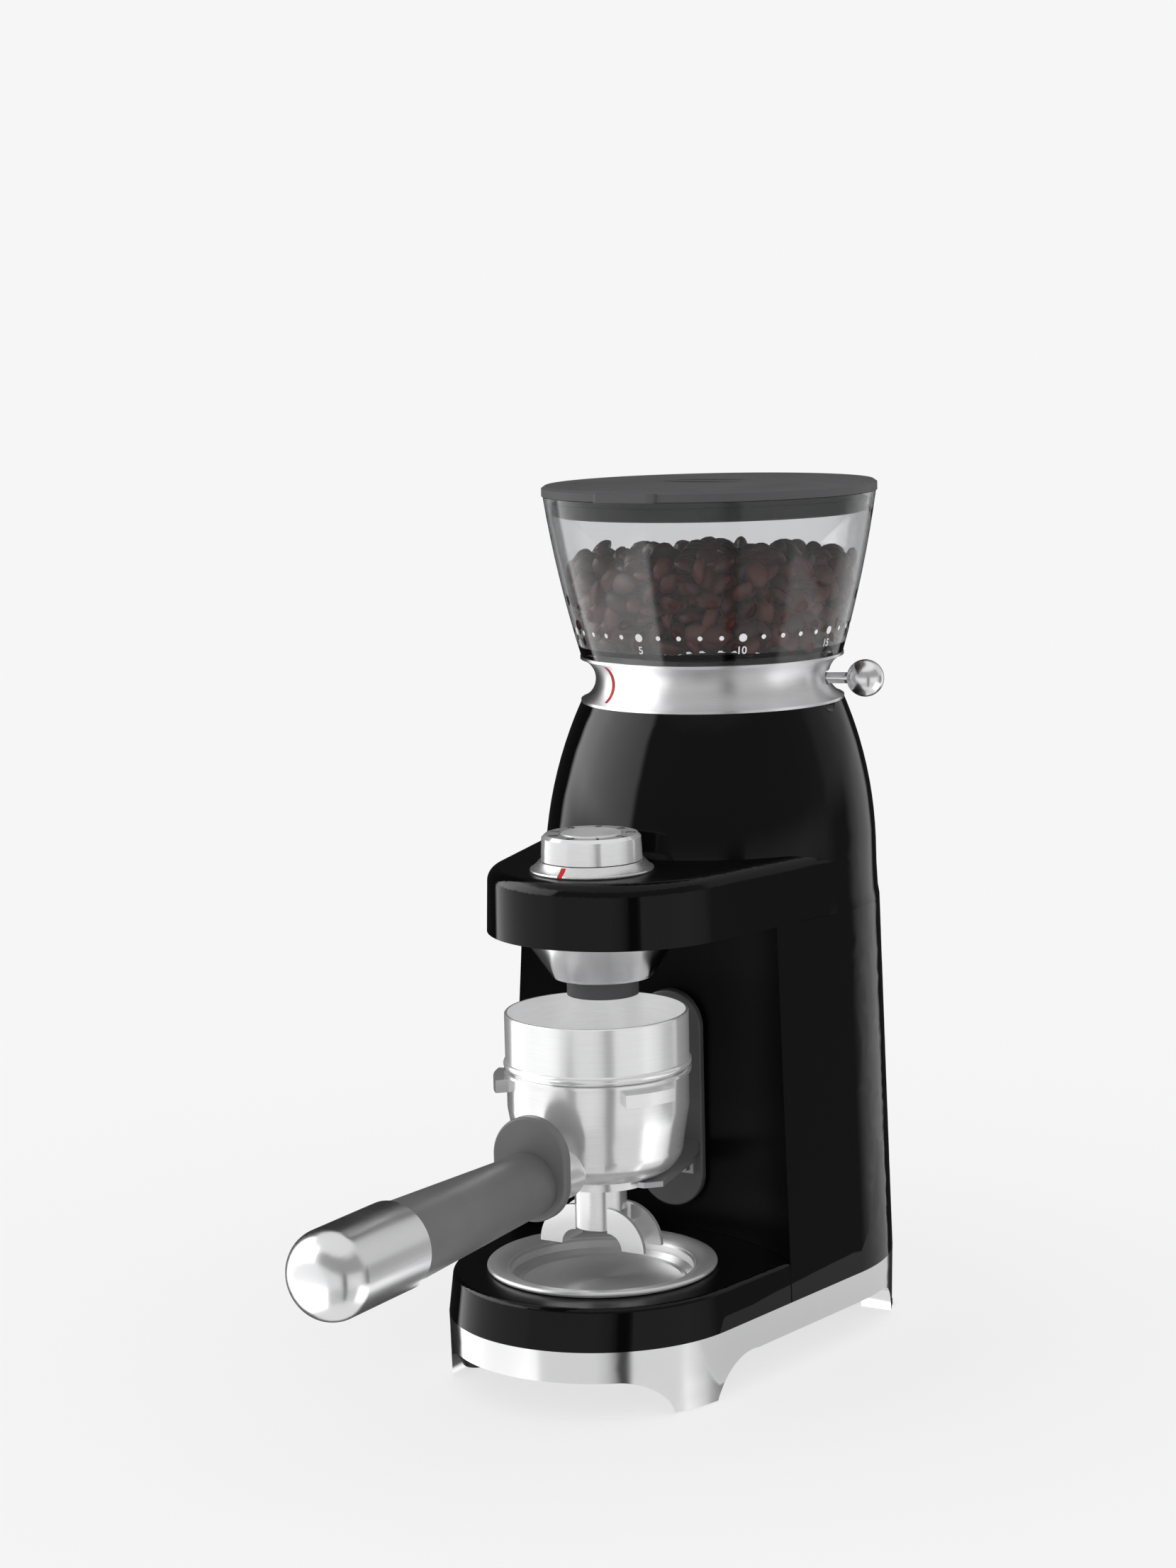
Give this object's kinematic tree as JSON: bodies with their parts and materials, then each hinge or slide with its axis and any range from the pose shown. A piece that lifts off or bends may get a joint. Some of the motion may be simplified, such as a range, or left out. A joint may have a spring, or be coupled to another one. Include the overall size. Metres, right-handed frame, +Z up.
{
  "type": "burr coffee grinder",
  "caption": "Espresso burr grinder with a clear bean hopper, dosing platform with a knob, portafilter on a fork, and drip dish.",
  "frame": {"origin": "on the floor, at the middle of the overall width and depth", "axes": "+Z up; +Y runs from the front (portafilter handle) to the back; +X to the right seen from the front"},
  "size_m": [0.162, 0.4026, 0.383],
  "materials": {
    "shell_black": "moulded ABS with a high gloss",
    "dark_grey": "fine matt moulded plastic",
    "polished_steel": "mirror-polished steel",
    "satin_steel": "fine brushed steel",
    "fork_metal": "silver powder coat on steel sheet",
    "clear_plastic": "clear, slightly smoky polycarbonate",
    "soft_rubber": "black rubber",
    "hard_steel": "ground steel",
    "inner_plastic": "glass-filled nylon",
    "motor_steel": "zinc-plated steel",
    "circuit_board": "green circuit laminate with parts"
  },
  "bodies": {
    "body": {"upper_shell": "shell_black", "lower_shell": "shell_black", "platform_floor": "shell_black", "chassis": "shell_black", "bracket_panel": "dark_grey", "outlet_sleeve": "dark_grey", "base_band": "polished_steel", "knob_ring": "polished_steel", "funnel": "polished_steel", "collar": "satin_steel", "base_plate": "satin_steel", "portafilter_fork": "fork_metal", "foot_pads": "soft_rubber", "cord_inlet_bush": "soft_rubber", "motor_dampers": "soft_rubber", "lower_bearing": "hard_steel", "upper_bearing": "hard_steel", "base_screws": "hard_steel", "grind_chamber": "inner_plastic", "exit_chute": "inner_plastic", "gear_case": "inner_plastic", "gear_cover": "inner_plastic", "motor_mount": "inner_plastic", "motor_end_bell": "inner_plastic", "interlock_switch": "inner_plastic", "encoder": "inner_plastic", "motor_can": "motor_steel", "motor_magnets": "motor_steel", "motor_brushes": "motor_steel", "power_board": "circuit_board", "knob_board": "circuit_board", "board_parts": "circuit_board"},
    "hopper_body": {"hopper": "clear_plastic"},
    "lid_body": {"lid": "dark_grey", "lid_seal": "soft_rubber"},
    "lever_body": {"lock_ring": "inner_plastic", "lever_stem": "polished_steel", "lever_ball": "dark_grey"},
    "shutter_body": {"hopper_shutter": "inner_plastic"},
    "carrier_body": {"burr_carrier": "inner_plastic", "ring_burr": "hard_steel"},
    "knob_body": {"dose_knob": "polished_steel"},
    "button_body": {"start_button": "polished_steel"},
    "burr_body": {"burr_shaft": "hard_steel", "cone_burr": "hard_steel", "sweeper": "inner_plastic", "drive_gear": "inner_plastic", "burr_nut": "hard_steel"},
    "motor_body": {"motor_shaft": "hard_steel", "motor_armature": "motor_steel", "motor_pinion": "hard_steel", "cooling_fan": "inner_plastic"},
    "portafilter": {"portafilter_cup": "polished_steel", "filter_basket": "satin_steel", "spout": "polished_steel", "handle_flange": "dark_grey", "handle_grip": "dark_grey", "handle_cap": "polished_steel"},
    "ring_body": {"dosing_ring": "polished_steel"},
    "dish_body": {"drip_dish": "satin_steel"}
  },
  "joints": [
    {"name": "hopper_turn", "type": "hinge", "parent": "body", "child": "hopper_body", "pos_m": [0, 0.12225, 0.3], "axis": [0, 0, 1], "range_deg": [-236, 21.5]},
    {"name": "lid_lift", "type": "slide", "parent": "hopper_body", "child": "lid_body", "axis": [0, 0, 1], "range_m": [0, 0.06]},
    {"name": "lever_turn", "type": "hinge", "parent": "body", "child": "lever_body", "pos_m": [0, 0.12225, 0.2942], "axis": [0, 0, 1], "range_deg": [0, 50]},
    {"name": "shutter_turn", "type": "hinge", "parent": "hopper_body", "child": "shutter_body", "pos_m": [0, 0.12225, 0.282], "axis": [0, 0, 1], "range_deg": [0, 50]},
    {"name": "burr_lift", "type": "slide", "parent": "hopper_body", "child": "carrier_body", "axis": [0, 0, 1], "range_m": [-0.0001, 0.001]},
    {"name": "knob_turn", "type": "hinge", "parent": "body", "child": "knob_body", "pos_m": [0, 0.01245, 0.23], "axis": [0, 0, 1], "range_deg": [-320, 0]},
    {"name": "button_press", "type": "slide", "parent": "knob_body", "child": "button_body", "axis": [0, 0, -1], "range_m": [0, 0.0015], "stiffness_N_per_m": 400},
    {"name": "burr_spin", "type": "hinge", "parent": "body", "child": "burr_body", "pos_m": [0, 0.12225, 0.23], "axis": [0, 0, 1], "continuous": true},
    {"name": "motor_spin", "type": "hinge", "parent": "body", "child": "motor_body", "pos_m": [0, 0.14625, 0.15], "axis": [0, 0, 1], "continuous": true},
    {"name": "portafilter_slide", "type": "slide", "parent": "body", "child": "portafilter", "axis": [0, -1, 0], "range_m": [0, 0.09]},
    {"name": "ring_lift", "type": "slide", "parent": "portafilter", "child": "ring_body", "axis": [0, 0, 1], "range_m": [0, 0.004]},
    {"name": "dish_lift", "type": "slide", "parent": "body", "child": "dish_body", "axis": [0, 0, 1], "range_m": [0, 0.006]}
  ],
  "couplings": [
    {"joint": "burr_lift", "follows": "hopper_turn", "m_per_rad": -0.000239},
    {"joint": "shutter_turn", "follows": "lever_turn", "ratio": 1},
    {"joint": "motor_spin", "follows": "burr_spin", "ratio": -3.8}
  ]
}
